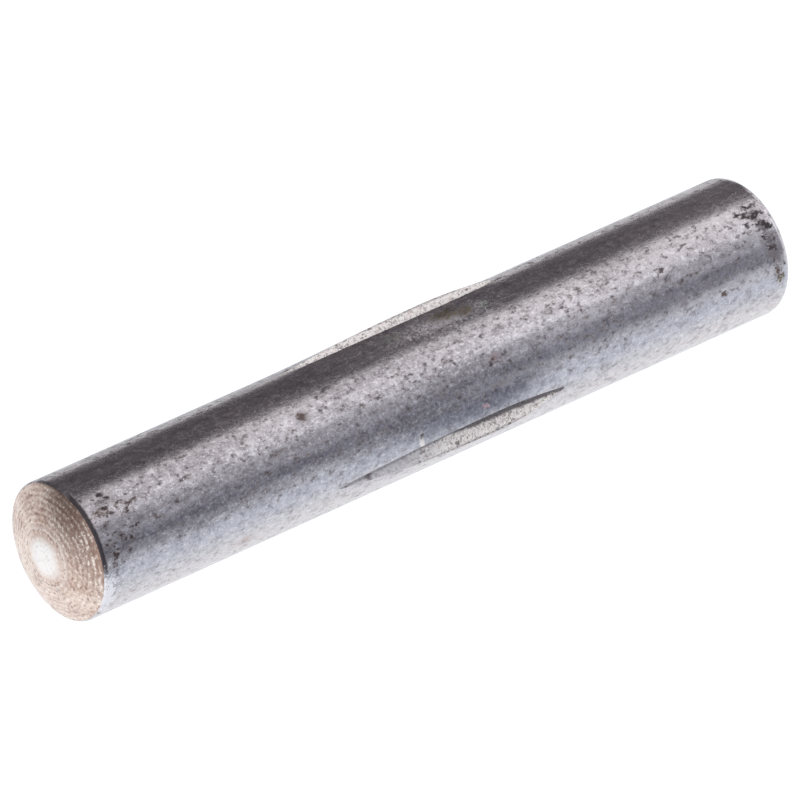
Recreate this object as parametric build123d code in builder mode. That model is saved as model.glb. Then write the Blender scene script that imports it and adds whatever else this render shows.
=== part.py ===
"""A steel groove pin that lies on its side.

It is turned from one piece of round bar, with domed ends, and three grooves are then pressed into
its middle third. The metal that each groove pushes aside stands up as a soft ridge on both sides
of it, and those ridges grip the hole that the pin is driven into. The plain ends stay round.

The pin lies along X. Its origin is on its axis, half way along it.
"""

import os
from math import cos, degrees, radians, sin, sqrt, tan

from build123d import *

# The round bar, in millimetres
pin_diameter = 5.0
body_length = 30.0  # from the foot of one dome to the foot of the other

# The two ends, both domed
dome_radius = 5.0
crisp_edge = 0.15  # rounding where the dome at -X meets the bar
rounded_edge = 0.45  # rounding where the dome at +X meets the bar

# The pressed grooves
groove_count = 3
groove_length = 10.0  # from tip to tip, with the middle of the pin half way
groove_deepest_at = 1.8  # how far past the middle the press bit deepest, towards +X
groove_depth = 0.3  # below the plain bar, at the deepest point
groove_vee_angle = 90.0  # between the two flanks
groove_nose_radius = 0.1  # at the bottom of the vee
wheel_overrun = 1.25  # how far the press's arc runs on past each tip, out of the metal
first_groove_lean = 19.0  # from straight up, towards +Y

# The metal raised beside the grooves
ridge_height = 0.24  # that of the swelling before the groove is cut from its middle
ridge_spread = 30.0  # degrees round the bar, from the groove's middle to the ridge's foot

bar_radius = pin_diameter / 2
half_body = body_length / 2
half_groove = groove_length / 2
dome_height = dome_radius - sqrt(dome_radius**2 - bar_radius**2)
first_groove_angle = 90 - first_groove_lean
groove_pitch = 360 / groove_count

# The ridges fade from the deepest point to each tip. These are shares of that way.
fade_stations = (1, 0.7, 0.4, 0)
low_run = half_groove + groove_deepest_at
high_run = half_groove - groove_deepest_at


def on_round(radius, angle):
    """A point of a cross section, at this distance from the axis and this angle."""
    return radius * cos(radians(angle)), radius * sin(radians(angle))


def end_outline(side):
    """Half the outline of one plain end, from the tip of its dome to the grooved middle."""
    tip = (side * (half_body + dome_height), 0)
    dome_foot = (side * half_body, bar_radius)
    inner_edge = (side * half_groove, bar_radius)
    inner_centre = (side * half_groove, 0)
    TangentArc(tip, dome_foot, tangent=(0, 1))
    Polyline(dome_foot, inner_edge, inner_centre, tip)


def ridged_outline(lift):
    """The round of the middle third, with one swelling of this height under each groove."""
    for groove in range(groove_count):
        centre = first_groove_angle + groove * groove_pitch
        crest = on_round(bar_radius + lift, centre)
        for side in (-1, 1):
            foot_angle = centre + side * ridge_spread
            foot = on_round(bar_radius, foot_angle)
            shoulder = on_round(bar_radius + lift / 2, centre + side * ridge_spread / 2)
            hollow = TangentArc(foot, shoulder, tangent=on_round(1, foot_angle - side * 90))
            TangentArc(shoulder, crest, tangent=hollow % 1)
        plain_start = centre + ridge_spread
        CenterArc((0, 0), bar_radius, plain_start, groove_pitch - 2 * ridge_spread)


# The middle third before it is pressed, through sections that follow how deep each groove will be
with BuildPart() as swollen_middle:
    low_stations = [(groove_deepest_at - share * low_run, share) for share in fade_stations]
    high_stations = [(groove_deepest_at + share * high_run, share) for share in fade_stations]
    for place, share in low_stations + high_stations[-2::-1]:
        with BuildSketch(Plane.YZ.offset(place)):
            with BuildLine():
                ridged_outline(ridge_height * (1 - share**2) ** 1.5)
            make_face()
    loft()

# What one groove takes away, drawn upright with the pin's axis on Z and the groove facing +X:
# a vee with a rounded nose, turned about one wheel's axle towards each tip
with BuildPart() as groove_shape:
    vee_slope = tan(radians(groove_vee_angle / 2))
    nose_gain = groove_nose_radius * (1 / sin(radians(groove_vee_angle / 2)) - 1)
    vee_point = bar_radius - groove_depth - nose_gain
    vee_top = bar_radius + 2 * ridge_height
    vee_half_width = (vee_top - vee_point) * vee_slope
    with BuildSketch(Plane.XY.offset(groove_deepest_at)) as vee:
        with BuildLine():
            Polyline(
                (vee_point, 0),
                (vee_top, vee_half_width),
                (vee_top, -vee_half_width),
                close=True,
            )
        make_face()
        fillet(vee.vertices().sort_by(Axis.X)[0], groove_nose_radius)
    for run, turn in ((low_run, -1), (high_run, 1)):
        wheel_radius = (run**2 + groove_depth**2) / (2 * groove_depth)
        axle = (bar_radius - groove_depth + wheel_radius, 0, groove_deepest_at)
        revolve(
            vee.sketch,
            axis=Axis(axle, (0, turn, 0)),
            revolution_arc=degrees(wheel_overrun * run / wheel_radius),
        )

with BuildPart() as groove_pin:
    for side in (-1, 1):
        with BuildSketch(Plane.XY):
            with BuildLine():
                end_outline(side)
            make_face()
        revolve(axis=Axis.X)
    dome_feet = groove_pin.edges().filter_by(lambda edge: edge.is_closed).sort_by(Axis.X)
    fillet(dome_feet[0], crisp_edge)
    fillet(dome_feet[-1], rounded_edge)
    add(swollen_middle.part)
    with Locations(Plane.YZ):
        with PolarLocations(0, groove_count, start_angle=first_groove_angle):
            add(groove_shape.part, mode=Mode.SUBTRACT)

groove_pin.part.label = "groove_pin"

os.makedirs("parts", exist_ok=True)
export_step(groove_pin.part, "parts/groove_pin.step")
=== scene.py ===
# %% [markdown]
# A steel groove pin, about 31 mm long, lies on a white table under a large soft light. It is bare
# metal, so most of what shows is a reflection of its surroundings, broken up by pits, drawing lines
# and tarnish. The table and the lamps at the end of this lesson matter as much as the metal does.
#
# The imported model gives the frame, the size and the place. It is loaded as it is and never changed.

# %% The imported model
import math
import random
from functools import reduce

import bpy
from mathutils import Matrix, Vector, noise


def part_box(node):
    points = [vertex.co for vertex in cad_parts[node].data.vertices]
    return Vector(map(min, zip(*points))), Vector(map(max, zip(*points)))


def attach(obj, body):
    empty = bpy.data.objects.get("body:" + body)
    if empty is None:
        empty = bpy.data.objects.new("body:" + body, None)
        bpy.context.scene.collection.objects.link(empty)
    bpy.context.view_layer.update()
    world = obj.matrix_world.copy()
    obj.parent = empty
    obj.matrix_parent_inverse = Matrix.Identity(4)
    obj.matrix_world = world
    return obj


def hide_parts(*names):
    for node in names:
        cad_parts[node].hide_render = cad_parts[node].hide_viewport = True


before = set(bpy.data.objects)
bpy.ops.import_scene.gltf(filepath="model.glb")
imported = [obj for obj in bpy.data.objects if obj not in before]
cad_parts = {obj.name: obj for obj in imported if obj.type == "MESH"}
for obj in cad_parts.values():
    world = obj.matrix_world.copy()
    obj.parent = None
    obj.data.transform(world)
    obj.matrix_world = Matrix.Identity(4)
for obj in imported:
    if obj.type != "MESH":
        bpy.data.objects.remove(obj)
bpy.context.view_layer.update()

low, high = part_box("groove_pin")
print("the packed pin runs from", [round(v, 5) for v in low], "to", [round(v, 5) for v in high])

# %% [markdown]
# The pin's sizes are those of its drawing. Blender works in metres, so each is written in
# millimetres and multiplied once. The grooves lie round the bar at 120 degrees from each other,
# and their angles are counted from straight up, towards +Y.

# %% The pin's own sizes
mm = 0.001
bar_radius = 2.5 * mm
half_body = 15.0 * mm
dome_radius = 5.0 * mm
crisp_edge = 0.15 * mm
rounded_edge = 0.45 * mm

half_groove = 5.0 * mm
groove_deepest_at = 1.8 * mm
groove_depth = 0.3 * mm
groove_nose_radius = 0.1 * mm
groove_angles = [19, 139, 259]
ridge_height = 0.24 * mm
ridge_spread = 30.0

dome_height = dome_radius - math.sqrt(dome_radius**2 - bar_radius**2)
dome_centre = half_body + dome_height - dome_radius
low_run = half_groove + groove_deepest_at
high_run = half_groove - groove_deepest_at
half_length = half_body + dome_height
print("half length", round(half_length / mm, 3), "mm, packed", round(high.x / mm, 3), "mm")

# %% [markdown]
# The photo was taken with a long lens from the pin's left, about a third of a right angle above the
# table. A camera far away with a long lens gives the same nearly parallel edges. The lens is worked
# out from how many pixels a millimetre spans at that distance, and a small shift puts the pin's
# middle on its pixel.

# %% The camera
photo_side = 800
camera_azimuth = math.radians(-39.82)
camera_elevation = math.radians(32.57)
camera_distance = 0.55
pixels_per_mm = 29.632
middle_pixel = (405.25, 396.16)
sensor_width = 36.0
nearest_seen = 0.01

towards_camera = Vector((
    math.sin(camera_azimuth) * math.cos(camera_elevation),
    -math.cos(camera_azimuth) * math.cos(camera_elevation),
    math.sin(camera_elevation),
))
bpy.ops.object.camera_add(location=towards_camera * camera_distance)
camera = bpy.context.object
camera.name = "photo_camera"
camera.rotation_euler = towards_camera.to_track_quat("Z", "Y").to_euler()
camera.data.sensor_width = sensor_width
camera.data.lens = pixels_per_mm / mm * camera_distance / photo_side * sensor_width
camera.data.shift_x = (photo_side / 2 - middle_pixel[0]) / photo_side
camera.data.shift_y = (middle_pixel[1] - photo_side / 2) / photo_side
camera.data.clip_start = nearest_seen
bpy.context.scene.camera = camera
bpy.context.scene.view_settings.view_transform = "Standard"
print("lens", round(camera.data.lens, 1), "mm")

# %% [markdown]
# A turned part starts as half an outline. One vertex is put down and extruded again and again, click
# by click, as a person would draw it. The same drawing helper makes the section of the pressing
# tool later on. Everything is deselected first, because an operator acts on all that is selected.


# %% Helpers that select and draw
def nothing_selected():
    """Deselects every object, so that the next operator acts on no other by mistake."""
    bpy.ops.object.select_all(action="DESELECT")


def only_selected(made):
    """Leaves this object alone selected, and active."""
    nothing_selected()
    made.select_set(True)
    bpy.context.view_layer.objects.active = made


def drawn_chain(name, points):
    """One vertex put down and extruded through the points, left in edit mode with its end selected."""
    nothing_selected()
    bpy.ops.mesh.primitive_plane_add(size=mm, location=points[0])
    made = bpy.context.object
    made.name = name
    made.data.name = name
    bpy.ops.object.transform_apply(location=True, rotation=False, scale=False)
    bpy.ops.object.mode_set(mode="EDIT")
    bpy.ops.mesh.merge(type="CENTER")
    for start, stop in zip(points, points[1:]):
        step = Vector(stop) - Vector(start)
        bpy.ops.mesh.extrude_vertices_move(TRANSFORM_OT_translate={"value": step})
    return made


# %% [markdown]
# The ends were faced on a lathe. The tool left rings about 0.18 mm apart, some deeper than others,
# round a small bright button in the middle. The rings belong in the outline itself, because spun
# metal catches the light on real ridges. Each ring gets its own depth from a seeded random draw.

# %% The outline of one end
ring_pitch = 0.18 * mm
ring_depth = 0.004 * mm
ring_draws = 20
shallowest_ring = 0.35
button_radius = 0.66 * mm
left_on_button = 0.15
ring_seed = 4
rings = random.Random(ring_seed)
ring_depths = [ring_depth * rings.uniform(shallowest_ring, 1.0) for ring in range(ring_draws)]


def tool_mark(radius):
    """How far the facing tool bit in at this radius."""
    ring, share = divmod(radius / ring_pitch, 1)
    deep = ring_depths[int(ring)]
    faded = min(1, max(left_on_button, (radius - button_radius) / (2 * ring_pitch)))
    return faded * deep * (0.5 - 0.5 * math.cos(2 * math.pi * share))


def end_outline(edge, ring_step, arc_steps):
    """Points from the tip of a dome, over its rounded edge, to the plain bar, for the end at +X."""
    arc_radius = bar_radius - edge
    arc_x = dome_centre + math.sqrt((dome_radius - edge) ** 2 - arc_radius**2)
    first_angle = math.atan2(arc_radius, arc_x - dome_centre)
    foot_radius = dome_radius * math.sin(first_angle)
    ring_count = round(foot_radius / ring_step)
    points = []
    for ring in range(ring_count):
        radius = foot_radius * ring / ring_count
        x = dome_centre + math.sqrt(dome_radius**2 - radius**2) - tool_mark(radius)
        points.append((x, 0, radius))
    for arc_step in range(arc_steps + 1):
        angle = first_angle + (math.pi / 2 - first_angle) * arc_step / arc_steps
        points.append((arc_x + edge * math.cos(angle), 0, arc_radius + edge * math.sin(angle)))
    return points


near_ring_step, near_arc_steps = 0.03 * mm, 6
far_ring_step, far_arc_steps = 0.04 * mm, 8
far_outline = end_outline(rounded_edge, far_ring_step, far_arc_steps)
near_outline = [(-x, y, z) for x, y, z in end_outline(crisp_edge, near_ring_step, near_arc_steps)]
print(len(near_outline), "points on the near end,", len(far_outline), "on the far end")

# %% [markdown]
# The bar between the ends is a straight line. It is cut into short steps, because the ridges beside
# the grooves and the pits are pushed into its surface afterwards. Spin then turns the whole outline
# round the X axis. Its first and last columns meet and are merged, and so are the points at the two
# tips, which closes the poles.

# %% The turned bar
bar_step = 0.125 * mm
column_count = 192
merge_distance = 1e-7

bar_start, bar_stop = near_outline[-1][0], far_outline[-1][0]
bar_length = bar_stop - bar_start
bar_steps = round(bar_length / bar_step)
bar_places = [bar_start + bar_length * step / bar_steps for step in range(1, bar_steps)]
bar_line = [(place, 0, bar_radius) for place in bar_places]
outline = near_outline + bar_line + far_outline[::-1]

pin = drawn_chain("groove_pin_steel", outline)
bpy.ops.mesh.select_all(action="SELECT")
bpy.ops.mesh.spin(steps=column_count, angle=2 * math.pi, center=(0, 0, 0), axis=(1, 0, 0))
bpy.ops.mesh.select_all(action="SELECT")
bpy.ops.mesh.remove_doubles(threshold=merge_distance)
bpy.ops.mesh.normals_make_consistent(inside=False)
bpy.ops.object.mode_set(mode="OBJECT")
print("turned bar:", len(pin.data.vertices), "vertices,", len(pin.data.polygons), "faces")

# %% [markdown]
# A press pushes each groove into the bar, and the metal has to go somewhere: it stands up on both
# sides of the groove. So the bar first swells over each groove, most where the press bites deepest,
# and the groove is then cut out of the swelling's middle. The swelling is a Displace modifier that
# follows a vertex group, whose weights are worked out from the place of each vertex.


# %% The swelling over each groove
def weighted_displace(name, strength, weight_at):
    """Moves the surface along its normals by strength times a weight that depends on the place."""
    group = pin.vertex_groups.new(name=name)
    for vertex in pin.data.vertices:
        weight = weight_at(vertex.co)
        if weight > 0:
            group.add([vertex.index], weight, "REPLACE")
    only_selected(pin)
    bpy.ops.object.modifier_add(type="DISPLACE")
    displace = pin.modifiers[-1]
    displace.vertex_group = name
    displace.mid_level = 0
    displace.strength = strength
    bpy.ops.object.modifier_apply(modifier=displace.name)


def angle_of(place):
    """Degrees round the bar from straight up, towards +Y."""
    return math.degrees(math.atan2(place.y, place.z))


def turn_between(first, second):
    """The shorter way round from one angle to the other, in degrees."""
    return abs((first - second + 180) % 360 - 180)


def swelling_at(place):
    """1 over the deepest point of a groove, 0 at its tips and 30 degrees to its sides."""
    run = low_run if place.x < groove_deepest_at else high_run
    share = abs(place.x - groove_deepest_at) / run
    aside = min(turn_between(angle_of(place), angle) for angle in groove_angles) / ridge_spread
    if share >= 1 or aside >= 1:
        return 0
    return (1 - share**2) ** 1.5 * (0.5 + 0.5 * math.cos(math.pi * aside))


weighted_displace("swelling", ridge_height, swelling_at)
swollen_radius = max(math.hypot(vertex.co.y, vertex.co.z) for vertex in pin.data.vertices)
print("swollen to", round(swollen_radius / mm, 3), "mm from the axis")

# %% [markdown]
# The bar was drawn through a die and has lain about since, so its skin is gently uneven and holds
# small pits. The pits are pushed in the same way as the ridges were raised. A few large ones show
# clearly in the photo, and are named here by where they are. The small ones come from noise.

# %% Pits in the skin
pit_depth = 0.03 * mm
uneven_grain, small_pit_grain = 0.5 * mm, 0.2 * mm
small_pit_edge = 0.42
uneven_share, small_pit_share, large_pit_share = 0.07, 0.5, 0.9
small_pits_aside = Vector((7, 0, 0))


def on_bar(along, angle):
    """The point of the bar's surface at this many millimetres along and degrees round."""
    return Vector((
        along * mm,
        bar_radius * math.sin(math.radians(angle)),
        bar_radius * math.cos(math.radians(angle)),
    ))


# Each pit has its place, its half length along the bar and its half width, in millimetres
large_pits = {
    "diamond": (on_bar(-5.6, -31.7), 0.32, 0.24),
    "in_the_bright_band": (on_bar(9.9, -42.3), 0.15, 0.11),
    "in_the_low_band": (on_bar(12.1, -81), 0.18, 0.13),
    "above_the_low_groove": (on_bar(-1.4, -84.5), 0.13, 0.12),
    "reddish": (on_bar(2.2, -51.8), 0.1, 0.08),
}


def pit_at(place):
    """How deep the skin is pitted here, from 0 to 1."""
    if abs(place.x) > half_body - rounded_edge:
        return 0
    unevenness = uneven_share * (1 + noise.noise(place / uneven_grain))
    fine = noise.noise(place / small_pit_grain + small_pits_aside)
    small_pits = small_pit_share * max(0, fine - small_pit_edge)
    deepest = 0
    for centre, half_long, half_wide in large_pits.values():
        offset = place - centre
        reach = Vector((offset.x / half_long, offset.y / half_wide, offset.z / half_wide)).length / mm
        deepest = max(deepest, 1 - reach**2)
    return min(1, unevenness + small_pits + large_pit_share * deepest)


weighted_displace("pits", -pit_depth, pit_at)
print(len(large_pits), "large pits, up to", round(pit_depth / mm, 3), "mm deep")

# %% [markdown]
# The groove is what the press's wheels left: a vee whose bottom follows a wide arc from the deepest
# point out to each tip. The tool that cuts it here is the same shape. Its section is drawn as a vee
# with a rounded nose and spun round one axle for the long side and round another for the short side.

# %% The pressing tool
vee_half_angle = math.radians(45)
nose_steps = 4
wheel_overrun = 1.25
print_step = 0.05 * mm

nose_centre = bar_radius - groove_depth + groove_nose_radius
vee_top = bar_radius + 2 * ridge_height
nose_points = []
for nose_step in range(nose_steps + 1):
    angle = (nose_step / nose_steps - 0.5) * (math.pi - 2 * vee_half_angle)
    y = groove_nose_radius * math.sin(angle)
    z = nose_centre - groove_nose_radius * math.cos(angle)
    nose_points.append((groove_deepest_at, y, z))
_, foot_y, foot_z = nose_points[-1]
top_y = foot_y + (vee_top - foot_z) * math.tan(vee_half_angle)
vee = [(groove_deepest_at, -top_y, vee_top), *nose_points, (groove_deepest_at, top_y, vee_top)]

press = drawn_chain("press", vee)
bpy.ops.mesh.select_all(action="SELECT")
bpy.ops.mesh.edge_face_add()
bpy.ops.mesh.delete(type="ONLY_FACE")


def swept_round_axle(run, axle_direction):
    """Spins the vee at the deepest point round a wheel's axle, out past the tip on that side."""
    bpy.ops.mesh.select_all(action="DESELECT")
    bpy.ops.object.mode_set(mode="OBJECT")
    for vertex in press.data.vertices:
        vertex.select = abs(vertex.co.x - groove_deepest_at) < merge_distance
    bpy.ops.object.mode_set(mode="EDIT")
    wheel_radius = (run**2 + groove_depth**2) / (2 * groove_depth)
    axle = (groove_deepest_at, 0, bar_radius - groove_depth + wheel_radius)
    reach = wheel_overrun * run
    bpy.ops.mesh.spin(
        steps=round(reach / print_step),
        angle=reach / wheel_radius,
        center=axle,
        axis=(0, axle_direction, 0),
    )


swept_round_axle(low_run, -1)
swept_round_axle(high_run, 1)
bpy.ops.mesh.select_all(action="SELECT")
bpy.ops.mesh.remove_doubles(threshold=merge_distance)
bpy.ops.mesh.fill_holes(sides=0)
bpy.ops.mesh.select_all(action="SELECT")
bpy.ops.mesh.normals_make_consistent(inside=False)
bpy.ops.object.mode_set(mode="OBJECT")
press_ends = [vertex.co.x / mm for vertex in press.data.vertices]
print("the press reaches from", round(min(press_ends), 2), "to", round(max(press_ends), 2), "mm")

# %% [markdown]
# Shader maths reads best as maths. A small class wraps a socket, and its operators add the Math nodes
# that do the sum. Most marks are a noise that is cut at some level, so steps have short names too.


# %% Shader maths
class Wire:
    """A node's output that can be added, multiplied and so on, each time through a Math node."""

    def __init__(self, paint, socket):
        self.paint = paint
        self.socket = socket

    def math(self, operation, *operands):
        return self.paint.wire("ShaderNodeMath", {"operation": operation}, dict(enumerate(operands)))

    def __add__(self, other):
        return self.math("ADD", self, other)

    def __sub__(self, other):
        return self.math("SUBTRACT", self, other)

    def __rsub__(self, other):
        return self.math("SUBTRACT", other, self)

    def __mul__(self, other):
        return self.math("MULTIPLY", self, other)

    def __truediv__(self, other):
        return self.math("DIVIDE", self, other)

    def __pow__(self, other):
        return self.math("POWER", self, other)

    __radd__ = __add__
    __rmul__ = __mul__

    def larger(self, other):
        return self.math("MAXIMUM", self, other)

    def size(self):
        return self.math("ABSOLUTE", self)

    def wave(self):
        """Rises and falls between -1 and 1, once for each whole number."""
        return self.math("COSINE", self * (2 * math.pi))

    def step(self, start, stop):
        """0 up to start, 1 from stop on, and a smooth rise between them."""
        settings = {"interpolation_type": "SMOOTHSTEP"}
        values = {"Value": self, "From Min": start, "From Max": stop}
        return self.paint.wire("ShaderNodeMapRange", settings, values, "Result")

    def above(self, level, reach):
        """0 up to the level, and 1 from this far above it on."""
        return self.step(level, level + reach)

    def below(self, level, reach):
        """0 down to the level, and 1 from this far below it on."""
        return (level - self).step(0, reach)


def largest(shares):
    """The largest of several wires at each point."""
    return reduce(Wire.larger, shares)


# %% [markdown]
# A material is a tree of nodes. This class makes each node through one method, which sets the node's
# settings first and then its sockets, by value or by link. It keeps the place on the pin to hand,
# and has a short method for each thing that the metals below are made of: noise, patches, coats of
# colour and a bumpy surface. The world is such a tree too, so the same class serves it at the end.


# %% The nodes of one material
class Paint:
    """One material or world, with the place on the pin to hand."""

    seed_strides = (3.7, 1.9, 5.3)

    def __init__(self, owner):
        self.owner = owner
        owner.use_nodes = True
        self.tree = owner.node_tree
        self.tree.nodes.clear()
        self.place = self.wire("ShaderNodeTexCoord", output="Object")
        parts = self.node("ShaderNodeSeparateXYZ", values={"Vector": self.place})
        self.x, self.y, self.z = (Wire(self, parts.outputs[axis]) for axis in "XYZ")

    def node(self, kind, settings=None, values=None):
        """Makes a node, sets its settings, then its sockets."""
        made = self.tree.nodes.new(kind)
        for name, value in (settings or {}).items():
            setattr(made, name, value)
        for name, value in (values or {}).items():
            if isinstance(value, Wire):
                self.tree.links.new(value.socket, made.inputs[name])
            else:
                made.inputs[name].default_value = value
        return made

    def wire(self, kind, settings=None, values=None, output=0):
        """Makes a node and gives one of its outputs."""
        return Wire(self, self.node(kind, settings, values).outputs[output])

    def noise(self, place, detail, roughness):
        """Noise from 0 to 1 with a grain about 1 across."""
        values = {"Vector": place, "Scale": 1.0, "Detail": detail, "Roughness": roughness}
        return self.wire("ShaderNodeTexNoise", values=values)

    def grain(self, size, stretch=(1, 1, 1), *, detail, roughness=0.5, seed):
        """Noise from 0 to 1 whose grains are about this many metres across, before the stretch."""
        scale = [1 / (size * times) for times in stretch]
        aside = [seed * stride for stride in self.seed_strides]
        values = {"Vector": self.place, "Scale": scale, "Location": aside}
        return self.noise(self.wire("ShaderNodeMapping", values=values), detail, roughness)

    def arcs(self, across, per_radius, *, detail, roughness):
        """Noise from 0 to 1 whose grains are thin across the radius and lie in arcs round X."""
        radius = self.radius()
        round_y, round_z = self.y / radius * per_radius, self.z / radius * per_radius
        values = {"X": radius / across, "Y": round_y, "Z": round_z}
        return self.noise(self.wire("ShaderNodeCombineXYZ", values=values), detail, roughness)

    def radius(self):
        """The distance from the pin's axis."""
        return (self.y * self.y + self.z * self.z) ** 0.5

    def nearness(self, centre, half_long, half_wide):
        """1 at a point of the bar, falling to 0 at the edge of a patch of this half size, in mm."""
        size = (half_long * mm, half_wide * mm, half_wide * mm)
        scale = [1 / side for side in size]
        location = [-place / side for place, side in zip(centre, size)]
        values = {"Vector": self.place, "Scale": scale, "Location": location}
        offset = self.wire("ShaderNodeMapping", values=values)
        return 1 - self.wire("ShaderNodeVectorMath", {"operation": "LENGTH"}, {0: offset}, "Value")

    def patchwork(self, patches, ragged, softness=0.5):
        """1 inside any of the patches and 0 outside, with edges that follow the ragged noise."""
        return largest((self.nearness(*patch) + ragged).step(0, softness) for patch in patches)

    def mixed(self, share, first, second):
        """The first colour where the share is 0 and the second where it is 1."""
        values = {0: share, 6: first, 7: second}
        return self.wire("ShaderNodeMix", {"data_type": "RGBA"}, values, output=2)

    def coated(self, colour, coats):
        """The colour under one coat after another. Each coat has its share and its own colour."""
        for share, coat in coats:
            colour = self.mixed(share, colour, coat)
        return colour

    def bump(self, height, distance, strength):
        """The normal of a surface with this height, which runs from 0 to 1, over this distance."""
        values = {"Height": height, "Distance": distance, "Strength": strength}
        return self.wire("ShaderNodeBump", values=values)

    def finished(self, shader, output="ShaderNodeOutputMaterial"):
        """Ends the tree in this shader."""
        self.node(output, values={"Surface": shader})
        return self.owner

    def metal(self, colour, roughness, metallic, normal):
        """Ends the material in one Principled shader."""
        values = {"Base Color": colour, "Roughness": roughness, "Metallic": metallic, "Normal": normal}
        return self.finished(self.wire("ShaderNodeBsdfPrincipled", values=values))


def linear(value):
    """One channel of a screen colour, from 0 to 255, as an amount of light from 0 to 1."""
    share = value / 255
    return share / 12.92 if share <= 0.04045 else ((share + 0.055) / 1.055) ** 2.4


def tone(red, green, blue):
    """A colour as it shows on a screen, from 0 to 255, as Blender's linear colour."""
    return (linear(red), linear(green), linear(blue), 1.0)


# %% [markdown]
# A few marks are large enough to be known by sight: stains, scuffs, dirt on the rims, a scratch.
# Each is a patch on the bar with a place and a half size, and noise will make its edge ragged. They
# stand where the photo has them.

# %% Marks that can be told apart
# Each patch has its place, its half length along the bar and its half width, in millimetres
crowded_specks = [
    (on_bar(-14.1, -25), 0.8, 0.5),
    (on_bar(-13.6, -38), 1.3, 0.6),
    (on_bar(-13.9, -55), 1.0, 0.7),
    (on_bar(-14.5, -72), 0.5, 0.7),
    (on_bar(2.2, -52), 0.3, 0.25),
    (on_bar(14.1, -29), 0.55, 0.5),
    (on_bar(14.5, -45), 0.4, 0.5),
    (on_bar(14.7, -74), 0.3, 0.5),
]
rim_dirt = [
    (on_bar(14.4, -31), 0.3, 0.28),
    (on_bar(14.42, -41), 0.3, 0.28),
    (on_bar(14.45, -56), 0.3, 0.36),
    (on_bar(14.48, -67), 0.3, 0.45),
    (on_bar(14.5, -82), 0.22, 0.3),
    (on_bar(-14.4, -36), 0.35, 0.2),
    (on_bar(-14.1, -28), 0.3, 0.12),
    (on_bar(-14.5, -47), 0.2, 0.15),
]
groove_dirt = [(on_bar(-3.6, -101.6), 0.18, 0.25), (on_bar(-0.75, -100.5), 0.16, 0.2)]
dulled = [(on_bar(-13.7, -50), 1.9, 1.3), (on_bar(11, -55), 6.0, 1.5)]
scuffs = [(on_bar(1.6, -6), 2.4, 0.45), (on_bar(-0.9, -99), 0.15, 0.5)]
olive_stains = [
    (on_bar(1.8, 0), 0.8, 0.3),
    (on_bar(2.4, -4), 0.5, 0.25),
    (on_bar(14.6, -88), 0.25, 0.2),
]
green_patches = [(on_bar(-0.7, 0), 0.7, 0.3), (on_bar(3.3, -6), 0.5, 0.3)]
red_patches = [(on_bar(2.3, -51), 0.4, 0.2), (on_bar(-8.9, -112), 0.4, 0.3)]
pink_flecks = [(on_bar(1.4, -84), 0.3, 0.14)]
pale_scratches = [(on_bar(-1.42, -92), 0.14, 0.5)]
dark_streaks = [(on_bar(2.2, -72), 0.7, 0.14)]
# A painted highlight on the lower part of the near rim.
rim_highlight_patch = [(on_bar(-14.85, -106), 0.4, 1.1)]
print(len(crowded_specks), "crowds of specks and", len(rim_dirt), "patches of dirt on the rims")

# %% [markdown]
# The bar's skin is drawn steel that has dulled. From large to small it has: slow changes of shade,
# short and long lines along the bar from the die, a mottled grain, and dark specks where the skin
# is pitted or has begun to rust. Each layer is noise of its own size, and the lines are noise that
# is stretched along X. Three more values, each from -1 to 1, say how far along, across and up the
# bar a point lies.

# %% The skin's noises and places
skin = Paint(bpy.data.materials.new("drawn_steel"))
shade = skin.grain(1.2 * mm, (2.5, 1, 1), detail=3, seed=1)
lines = skin.grain(0.11 * mm, (10, 1, 1), detail=2, roughness=0.6, seed=2)
long_lines = skin.grain(0.3 * mm, (16, 1, 1), detail=3, roughness=0.6, seed=13)
mottle = skin.grain(0.24 * mm, (1.4, 1, 1), detail=3, roughness=0.65, seed=3)
fine = skin.grain(0.09 * mm, (1.2, 1, 1), detail=2, roughness=0.6, seed=12)
specks = skin.grain(0.19 * mm, (1.4, 1, 1), detail=2, roughness=0.65, seed=4)
clusters = skin.grain(0.9 * mm, (1.6, 1, 1), detail=2, seed=5)
ragged = 2.2 * (fine - 0.5) + 1.2 * (mottle - 0.5)

along, across, level = skin.x / half_body, skin.y / bar_radius, skin.z / bar_radius
upper = (level - 0.3 * across).step(0.25, 0.65)
print("the skin's noises and places take", len(skin.tree.nodes), "nodes")

# %% [markdown]
# The dark marks come first. Each kind is a share from 0 to 1, and the largest one counts: specks,
# thin dark lines, the large pits, the dirt on the rims, one streak, and a line of painted shade along
# the upper part of the near rim. The specks crowd together near the two rims and thin out underneath.
# On the lower part of the near rim, a painted highlight takes away most of the dark.

# %% The skin's dark marks
rim_line_start, rim_line_full = 14.8 * mm, 14.92 * mm

# The painted highlight on the lower part of the near rim.
rim_highlight = skin.patchwork(rim_highlight_patch, ragged)
crowd = skin.patchwork(crowded_specks, 2 * (specks - 0.5), 0.8)
speck_edge = 0.56 - 0.02 * upper - 0.24 * (clusters - 0.5) - 0.09 * crowd
speckled = (specks + 0.25 * (fine - 0.5) - speck_edge).step(-0.02, 0.2)
# Painted shade: a dark line along the near rim, darkened on its upper part.
rim_shade = (0.06 * mm * ragged - skin.x).step(rim_line_start, rim_line_full)

dark_marks = [
    speckled * (0.42 + 0.35 * upper + 0.23 * crowd),
    lines.above(0.6, 0.2) * 0.3 * upper,
    skin.patchwork(large_pits.values(), 0.8 * ragged, 0.6) * 0.95,
    skin.patchwork(rim_dirt, 1.8 * ragged + 0.15, 0.8) * (0.65 + 0.35 * specks.step(0.4, 0.6)),
    skin.patchwork(dark_streaks, 1.6 * ragged - 0.3) * 0.5,
    rim_shade * (level - across).step(1.02, 1.22) * 0.95,
]
dark = largest(dark_marks) * (1 - 0.8 * rim_highlight)
print(len(dark_marks), "kinds of dark mark")
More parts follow.
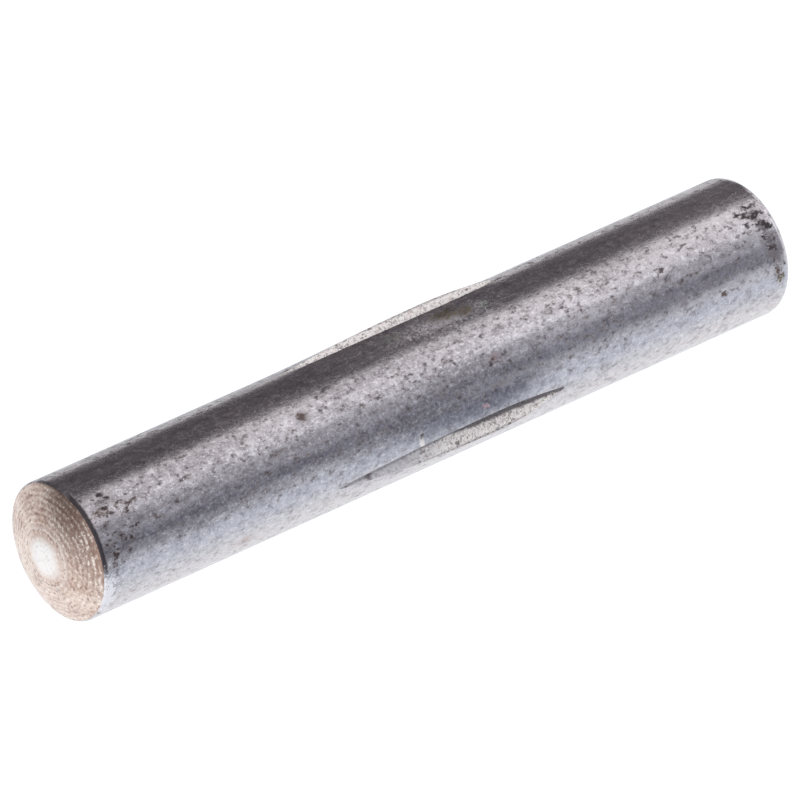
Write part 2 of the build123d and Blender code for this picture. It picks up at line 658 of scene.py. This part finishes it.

# %% [markdown]
# The clean metal is built up in coats, each with a share and a colour: a cool tint on the sides and
# a paler tone underneath, which are painted reflections; the long die lines; painted shade towards
# the near end and a painted highlight towards the far end of the upper band; two dulled patches; and
# the light and dark grains of the mottle and of the finest noise. Lower down, and along the very top
# of the bar, the grain is weaker.

# %% The skin's clean metal
grain_strength = (0.75 + 0.25 * upper) * (1 - 0.5 * level.step(0.93, 0.99))
clean = skin.mixed(shade.step(0.3, 0.7), tone(172, 167, 171), tone(192, 187, 191))
clean = skin.coated(clean, [
    # Painted reflection: a cool tint on the sides, then a paler tone underneath.
    (1 - level.step(0.05, 0.45), tone(180, 182, 191)),
    (1 - (level + 0.2 * (shade - 0.5)).step(-0.55, 0.15), tone(211, 206, 205)),
    (long_lines.above(0.5, 0.2) * 0.5 * upper, tone(216, 211, 215)),
    (long_lines.below(0.5, 0.2) * 0.5 * upper, tone(146, 141, 146)),
    # Painted shade towards the near end and a painted highlight towards the far end, on the upper
    # band.
    (along.below(0.3, 1.2) * 0.3 * upper, tone(146, 141, 146)),
    (along.above(0, 0.9) * 0.4 * upper, tone(222, 216, 219)),
    (skin.patchwork(dulled, ragged, 1.2) * 0.4, tone(128, 122, 127)),
    (mottle.below(0.5, 0.22) * 0.66 * grain_strength, tone(116, 110, 115)),
    (mottle.above(0.5, 0.22) * 0.6 * grain_strength, tone(228, 225, 229)),
    (fine.above(0.53, 0.2) * 0.65 * grain_strength, tone(238, 236, 240)),
    (fine.below(0.47, 0.2) * 0.5 * grain_strength, tone(120, 114, 119)),
])
print("the clean metal brings the skin to", len(skin.tree.nodes), "nodes")

# %% [markdown]
# The stains, scuffs and bright marks lie on top of the clean metal, with a painted highlight on the
# lower part of the near rim. The dark marks cover all of them, in a brown that is nearly black in the
# thickest specks and in the painted shade along the near rim. Dirt, scuffs and the painted highlight
# are rougher than the metal and mirror less of the room.

# %% The skin's stains and its finish
skin_relief = 0.009 * mm
worn_through = 0.35 + 0.65 * fine.step(0.38, 0.6)
scuff = skin.patchwork(scuffs, ragged, 1.3) * worn_through
olive = skin.patchwork(olive_stains, ragged + 0.15, 0.9) * (0.4 + 0.6 * worn_through)
stained = skin.coated(clean, [
    (scuff * 0.2, tone(200, 192, 196)),
    (skin.patchwork(red_patches, ragged, 1.0) * 0.45, tone(160, 114, 108)),
    (olive * 0.9, tone(104, 92, 64)),
    (skin.patchwork(green_patches, ragged, 0.9) * worn_through * 0.4, tone(184, 196, 180)),
    (skin.patchwork(pink_flecks, 0.5 * ragged) * 0.9, tone(255, 216, 216)),
    (skin.patchwork(pale_scratches, ragged) * 0.7, tone(246, 240, 234)),
    # The painted highlight, nearly white, on the lower part of the near rim.
    (rim_highlight * 0.8, tone(250, 250, 254)),
])
rust_and_shade = skin.mixed(shade.step(0.4, 0.6), tone(80, 71, 75), tone(98, 80, 72))
rust_and_shade = skin.coated(rust_and_shade, [
    ((specks - speck_edge).step(0.08, 0.22), tone(60, 53, 56)),
    # Nearly black where the painted shade along the near rim lies.
    (rim_shade, tone(44, 38, 44)),
])

skin_metal = skin.metal(
    colour=skin.mixed(dark, stained, rust_and_shade),
    roughness=0.2 + 0.1 * fine + 0.3 * dark + 0.35 * scuff + 0.3 * rim_highlight,
    metallic=1 - 0.5 * dark - 0.3 * scuff - 0.5 * rim_highlight,
    normal=skin.bump(0.5 * mottle + 0.2 * fine + 0.2 * lines - 0.5 * dark, skin_relief, 0.7),
)
print("drawn_steel has", len(skin.tree.nodes), "nodes")

# %% [markdown]
# The faced ends have a thin brown tarnish that sits in the tool's rings and leaves their crests and
# the button in the middle bright. Seen close, the rings are broken into short arcs. The colour
# therefore comes from noise in polar terms, thin across the radius and longer round the axis, with
# only a weak perfect ring under it. One side of the face is darker with painted shade, and the
# opposite side paler with painted light.

# %% The faced ends
tool_relief = 0.012 * mm
halo_radius, halo_width = 1.05, 0.12  # in millimetres


def faced_steel():
    """Brown tarnish in the rings, a bright button in the middle and a faint pale ring round it."""
    paint = Paint(bpy.data.materials.new("faced_steel"))
    wander = paint.grain(0.45 * mm, detail=3, roughness=0.6, seed=6)
    grit = paint.grain(0.11 * mm, detail=3, roughness=0.7, seed=7)
    patches = paint.grain(0.8 * mm, detail=3, seed=8)
    arcs = paint.arcs(0.09 * mm, 7, detail=3, roughness=0.7)
    radius = paint.radius()
    turns = (radius + 0.12 * mm * (wander - 0.5)) / ring_pitch
    crest = 0.5 + 0.5 * turns.wave()
    fleck = 0.37 * arcs + 0.57 * grit + 0.06 * crest + 0.12 * (patches - 0.5)
    # Painted shade on one side of the face, and painted light on the opposite side.
    shaded_side = ((paint.z - paint.y) / bar_radius + 0.8 * (patches - 0.5)).step(0.25, 1.3)
    painted_light_side = ((paint.y - paint.z) / bar_radius + 0.8 * (patches - 0.5)).step(-0.2, 1.2)

    wobble = 0.35 * mm * (wander - 0.5) + 0.8 * mm * (fleck - 0.5)
    uneven_radius = radius + wobble
    button = 1 - uneven_radius.step(0.65 * button_radius, 1.4 * button_radius)
    halo = 1 - (uneven_radius / mm - halo_radius).size().step(0, halo_width)

    steel = paint.mixed(patches.step(0.35, 0.65), tone(212, 187, 173), tone(232, 212, 198))
    steel = paint.coated(steel, [
        (shaded_side * 0.75, tone(140, 114, 104)),
        (painted_light_side * 0.6, tone(248, 232, 220)),
        (fleck.above(0.5, 0.13) * 0.8, tone(255, 246, 237)),
        (fleck.below(0.5, 0.13) * 0.75, tone(140, 112, 100)),
        (halo * 0.35, tone(246, 240, 236)),
        (button * 0.95, tone(255, 252, 248)),
        (button * fleck.below(0.48, 0.1) * 0.5, tone(204, 196, 194)),
    ])
    height = 0.5 * grit + 0.4 * arcs + 0.1 * crest
    return paint.metal(steel, 0.3 + 0.15 * grit, 1.0, paint.bump(height, tool_relief, 0.8))


end_metal = faced_steel()
print("faced_steel has", len(end_metal.node_tree.nodes), "nodes")

# %% [markdown]
# The pressed flanks are fresh metal, brighter and rougher than the skin, so they scatter light
# instead of mirroring the room. A dark line of dirt and painted shade runs along the bottom of the
# vee, wider past the middle and fainter towards the near tip, and dirt sits in small pits. The crests
# are grey with dark specks. How far a point lies from a groove's middle plane tells where the bottom
# is, and its distance from the axis tells where the crest is.

# %% The pressed flanks
flank_roughness, flank_metallic = 0.5, 0.1


def pressed_steel():
    """Bright rough metal, with dirt and painted shade at the bottom of the vee and grey crests."""
    paint = Paint(bpy.data.materials.new("pressed_steel"))
    streaks = paint.grain(0.12 * mm, (1, 3, 3), detail=3, roughness=0.65, seed=9)
    grit = paint.grain(0.13 * mm, detail=3, roughness=0.7, seed=10)
    dirt = paint.grain(0.25 * mm, (1.3, 1, 1), detail=3, roughness=0.6, seed=11)
    along = paint.x / mm
    crest = (paint.radius() / bar_radius + 0.03 * (dirt - 0.5)).step(1.035, 1.06)
    spread = 0.02 + 0.07 * along.step(0, 1.5) * (1 - along.step(3, 4.6)) + 0.15 * (0.5 - dirt)
    dirty_shaded_bottoms = []
    for angle in map(math.radians, groove_angles):
        aside = math.cos(angle) * paint.y - math.sin(angle) * paint.z
        dirty_shaded_bottoms.append(1 - (aside.size() / mm - spread).step(0.03, 0.1))
    fresh_part = (along + 2 * (dirt - 0.5)).step(-2.5, 0.5)
    # Towards the near tip, on the -Y side, the flank is painted the skin's cool grey.
    near_tip_grey = (1 - fresh_part) * (paint.y / bar_radius).below(0, 0.5)
    winding = 1 - (dirt - 0.52).size().step(0.004, 0.035)

    steel = paint.mixed(streaks.step(0.35, 0.65), tone(246, 240, 237), tone(255, 253, 251))
    steel = paint.coated(steel, [
        (grit.below(0.46, 0.1) * 0.75, tone(128, 118, 116)),
        (winding * streaks.step(0.4, 0.6) * 0.7, tone(118, 96, 90)),
        (dirt.above(0.59, 0.08) * 0.8, tone(94, 82, 80)),
        (dirt.below(0.46, 0.1) * 0.5, tone(176, 158, 156)),
        (crest * 0.4, tone(150, 147, 149)),
        (crest * grit.above(0.47, 0.1) * 0.8, tone(104, 88, 84)),
        (near_tip_grey * 0.6, tone(180, 182, 190)),
        (paint.patchwork(groove_dirt, 2 * (grit - 0.5)) * 0.8, tone(84, 72, 72)),
        # A line of dirt and painted shade along the bottom of each vee.
        (largest(dirty_shaded_bottoms) * (0.5 + 0.5 * fresh_part) * 0.85, tone(76, 70, 76)),
    ])
    normal = paint.bump(0.4 * streaks + 0.6 * grit, tool_relief, 0.8)
    return paint.metal(steel, flank_roughness, flank_metallic, normal)


groove_metal = pressed_steel()
print("pressed_steel has", len(groove_metal.node_tree.nodes), "nodes")

# %% [markdown]
# The press is copied for each groove and turned to its angle. Every copy gets marks of its own,
# which run across the vee, because no two blows leave the same print.

# %% Three copies of the press
mark_depth = 0.006 * mm
marks_per_step = 2
press.data.materials.append(groove_metal)
presses = []
for number, angle in enumerate(groove_angles):
    only_selected(press)
    bpy.ops.object.duplicate()
    copy = bpy.context.object
    marks = random.Random(number)
    lift_at = {}
    for vertex in copy.data.vertices:
        ring = round(vertex.co.x / print_step * marks_per_step)
        if ring not in lift_at:
            lift_at[ring] = mark_depth * marks.uniform(0, 1) ** 2
        vertex.co.z += lift_at[ring]
    copy.rotation_euler.x = -math.radians(angle)
    bpy.ops.object.transform_apply(location=False, rotation=True, scale=False)
    presses.append(copy)
print(len(presses), "presses, with marks up to", round(mark_depth / mm, 3), "mm high")

# %% [markdown]
# The copies are joined, so that one Boolean cuts all three grooves at once. It gives their flanks
# the press's material.

# %% The three pressed grooves
for copy in presses:
    copy.select_set(True)
bpy.context.view_layer.objects.active = presses[0]
bpy.ops.object.join()
all_presses = bpy.context.object

pin.data.materials.append(skin_metal)
pin.data.materials.append(end_metal)
only_selected(pin)
bpy.ops.object.modifier_add(type="BOOLEAN")
cut = pin.modifiers[-1]
cut.operation = "DIFFERENCE"
cut.solver = "EXACT"
cut.material_mode = "TRANSFER"
cut.object = all_presses
bpy.ops.object.modifier_apply(modifier=cut.name)
for tool in (press, all_presses):
    bpy.data.objects.remove(tool)
print("grooved pin:", len(pin.data.polygons), "faces, materials", [m.name for m in pin.data.materials])

# %% [markdown]
# The faces of the two domes get the faced metal. They are the ones that look along X. At the near
# end the tarnish runs on over the first sixth of the narrow rounded edge, and at the far end it
# stops before the wide one. Smooth shading with a limit keeps the crest of each ridge crisp, where
# the groove's flank meets the skin.

# %% Materials and shading by place
near_end_facing, far_end_facing = 0.75, 0.87
crisp_from = math.radians(32)
end_slot = pin.data.materials.find("faced_steel")
for face in pin.data.polygons:
    near = face.center.x < crisp_edge - half_body and face.normal.x < -near_end_facing
    far = face.center.x > half_body - crisp_edge and face.normal.x > far_end_facing
    if near or far:
        face.material_index = end_slot
only_selected(pin)
bpy.ops.object.shade_smooth_by_angle(angle=crisp_from)
triangles = sum(len(face.vertices) - 2 for face in pin.data.polygons)
print("the finished pin has", triangles, "triangles")

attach(pin, "root")
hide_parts("groove_pin")

# %% [markdown]
# The pin lies on a white table. The table is plain white card: where the camera or the metal sees
# it, it is nearly as bright as white can be, and a soft shadow stays where the pin keeps the light
# off it. Seen from the metal at a very low angle, the card's own shine mirrors the dim room. That
# gives the bar's lower band the soft, dark upper edge that it has in the photo.

# %% The table
table_side = 6.0
table_glow = 0.9
card_colour = tone(244, 245, 247)
card_light, card_strength = (0.94, 0.96, 1.0, 1.0), 1.17
card_refraction, card_roughness = 1.45, 0.1

bpy.ops.mesh.primitive_plane_add(size=table_side, location=(0, 0, -bar_radius))
table = bpy.context.object
table.name = "table"

card = Paint(bpy.data.materials.new("white_card"))
rays = card.node("ShaderNodeLightPath")
from_camera, from_metal, from_glass = (
    Wire(card, rays.outputs[f"Is {kind} Ray"]) for kind in ("Camera", "Glossy", "Transmission")
)
seen = largest([from_metal, from_camera, from_glass]) * table_glow
diffuse = card.wire("ShaderNodeBsdfDiffuse", values={"Color": card_colour})
glow = card.wire("ShaderNodeEmission", values={"Color": card_light, "Strength": card_strength})
flat = card.wire("ShaderNodeMixShader", values={0: seen, 1: diffuse, 2: glow})
shine = card.wire("ShaderNodeBsdfGlossy", values={"Roughness": card_roughness})
low_angle = card.wire("ShaderNodeFresnel", values={"IOR": card_refraction})
glossy = card.wire("ShaderNodeMixShader", values={0: low_angle * from_metal, 1: flat, 2: shine})
table.data.materials.append(card.finished(glossy))
print("white_card has", len(card.tree.nodes), "nodes")

# %% [markdown]
# A round bar mirrors the room in bands that run along it, so the photo's bands say where the light
# was. The broad pale band is a large softbox overhead, and the bright underside is the white table.
# The part that faces the camera mirrors a dim panel at the front right. The far end's rounded edge
# is bright, so another panel stands low beyond it, where the bar can't mirror it. A long low panel
# behind the pin gives the thin bright line along the top of its outline. The last panel stands at
# the left, where the bar's side can't mirror it into the lens. It lights the rough flanks of the
# grooves and the near end.


# %% The lamps
def panel(name, place, aim, width, height, glow):
    """A rectangular lamp whose face is as bright as a white surface times the glow."""
    bpy.ops.object.light_add(type="AREA", location=place)
    lamp = bpy.context.object
    lamp.name = name
    lamp.rotation_euler = (Vector(place) - Vector(aim)).to_track_quat("Z", "Y").to_euler()
    lamp.data.shape = "RECTANGLE"
    lamp.data.size = width
    lamp.data.size_y = height
    lamp.data.energy = glow * math.pi * width * height
    print(name, round(lamp.data.energy, 1), "W")


pin_place = (0, 0, 0)
softbox_height = 0.8
softbox_near, softbox_far = -0.64, 0.2
softbox_left, softbox_right = -1.0, 1.7
middle_x, middle_y = (softbox_left + softbox_right) / 2, (softbox_near + softbox_far) / 2
panel(
    "softbox",
    place=(middle_x, middle_y, softbox_height),
    aim=(middle_x, middle_y, 0),
    width=softbox_right - softbox_left,
    height=softbox_far - softbox_near,
    glow=0.95,
)
panel("far_panel", place=(1.6, 0.25, 0.45), aim=(0, 0.25, 0.45), width=1.5, height=0.9, glow=1.0)
panel("front_panel", place=(0.65, -0.78, 0.62), aim=pin_place, width=1.2, height=0.52, glow=0.36)
panel("back_panel", place=(0, 1.5, 0.08), aim=(0, 0, 0.08), width=3.0, height=0.16, glow=1.0)
panel("left_panel", place=(-0.95, -0.5, 0.5), aim=pin_place, width=1.2, height=0.8, glow=2.4)

# %% [markdown]
# Where no lamp stands, the metal mirrors the dim room, and the dark bands of the bar take their
# shade from it. It is a little lighter and bluer at the front right.

# %% The dim room
room_dark, room_light = 0.15, 0.34
dark_tint, light_tint = (1.0, 0.92, 0.98), (0.9, 0.95, 1.12)
lighter_side = (0.6, -0.6, 0)
lightens_from, lightest_from = 0.3, 0.8

room = Paint(bpy.data.worlds.new("dim_room"))
direction = room.wire("ShaderNodeTexCoord", output="Generated")
settings = {"operation": "DOT_PRODUCT"}
facing = room.wire("ShaderNodeVectorMath", settings, {0: direction, 1: lighter_side}, "Value")
values = {"Value": facing, "From Min": lightens_from, "From Max": lightest_from}
lightness = room.wire("ShaderNodeMapRange", values=values, output="Result")
dark_walls = [room_dark * tint for tint in dark_tint] + [1.0]
light_walls = [room_light * tint for tint in light_tint] + [1.0]
walls = room.mixed(lightness, dark_walls, light_walls)
sky = room.wire("ShaderNodeBackground", values={"Color": walls})
bpy.context.scene.world = room.finished(sky, output="ShaderNodeOutputWorld")
print("dim_room has", len(room.tree.nodes), "nodes")
